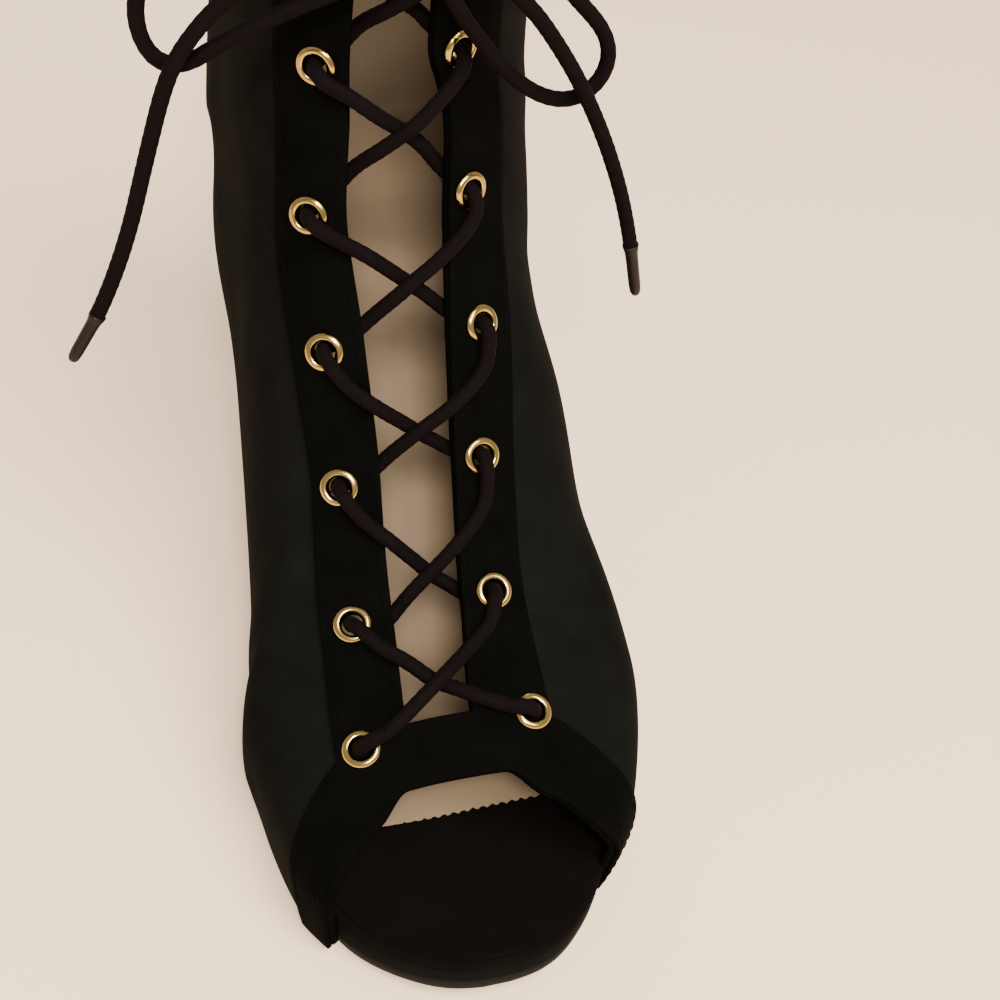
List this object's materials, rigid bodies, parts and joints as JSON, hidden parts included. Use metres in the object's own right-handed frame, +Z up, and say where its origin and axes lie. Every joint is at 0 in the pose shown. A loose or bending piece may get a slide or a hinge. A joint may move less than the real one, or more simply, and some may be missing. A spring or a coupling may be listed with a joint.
{
  "type": "lace-up peep-toe ankle boot",
  "caption": "Black suede-look ankle boot for the left foot with an open toe, open throat laced through gold eyelets, low covered platform and block heel.",
  "frame": {"origin": "on the floor under the ball of the foot, on the flat part of the tread", "axes": "+Z up, toe towards -Y, heel towards +Y, little toe (lateral) side towards +X"},
  "size_m": [0.1294, 0.2258, 0.2082],
  "materials": {
    "suede": "matt brushed nap",
    "band_suede": "matt, darker nap",
    "sole_rubber": "matt",
    "sock_lining": "smooth, soft sheen",
    "eyelet_gold": "polished",
    "lace_cord": "tightly woven round cord",
    "aglet_plastic": "dark film"
  },
  "bodies": {
    "root": {"aglet_lateral": "aglet_plastic", "aglet_medial": "aglet_plastic", "bow_end_lateral": "lace_cord", "bow_end_medial": "lace_cord", "bow_knot": "lace_cord", "bow_loop_lateral": "lace_cord", "bow_loop_medial": "lace_cord", "eyelet_lateral_1": "eyelet_gold", "eyelet_lateral_2": "eyelet_gold", "eyelet_lateral_3": "eyelet_gold", "eyelet_lateral_4": "eyelet_gold", "eyelet_lateral_5": "eyelet_gold", "eyelet_lateral_6": "eyelet_gold", "eyelet_lateral_7": "eyelet_gold", "eyelet_medial_1": "eyelet_gold", "eyelet_medial_2": "eyelet_gold", "eyelet_medial_3": "eyelet_gold", "eyelet_medial_4": "eyelet_gold", "eyelet_medial_5": "eyelet_gold", "eyelet_medial_6": "eyelet_gold", "eyelet_medial_7": "eyelet_gold", "front_band": "band_suede", "heel": "suede", "heel_top_piece": "sole_rubber", "insole": "sock_lining", "lace_cross_1": "lace_cord", "lace_cross_2": "lace_cord", "lace_cross_3": "lace_cord", "lace_cross_4": "lace_cord", "lace_cross_5": "lace_cord", "lace_cross_6": "lace_cord", "outsole": "sole_rubber", "platform": "suede", "upper": "suede"}
  },
  "joints": []
}
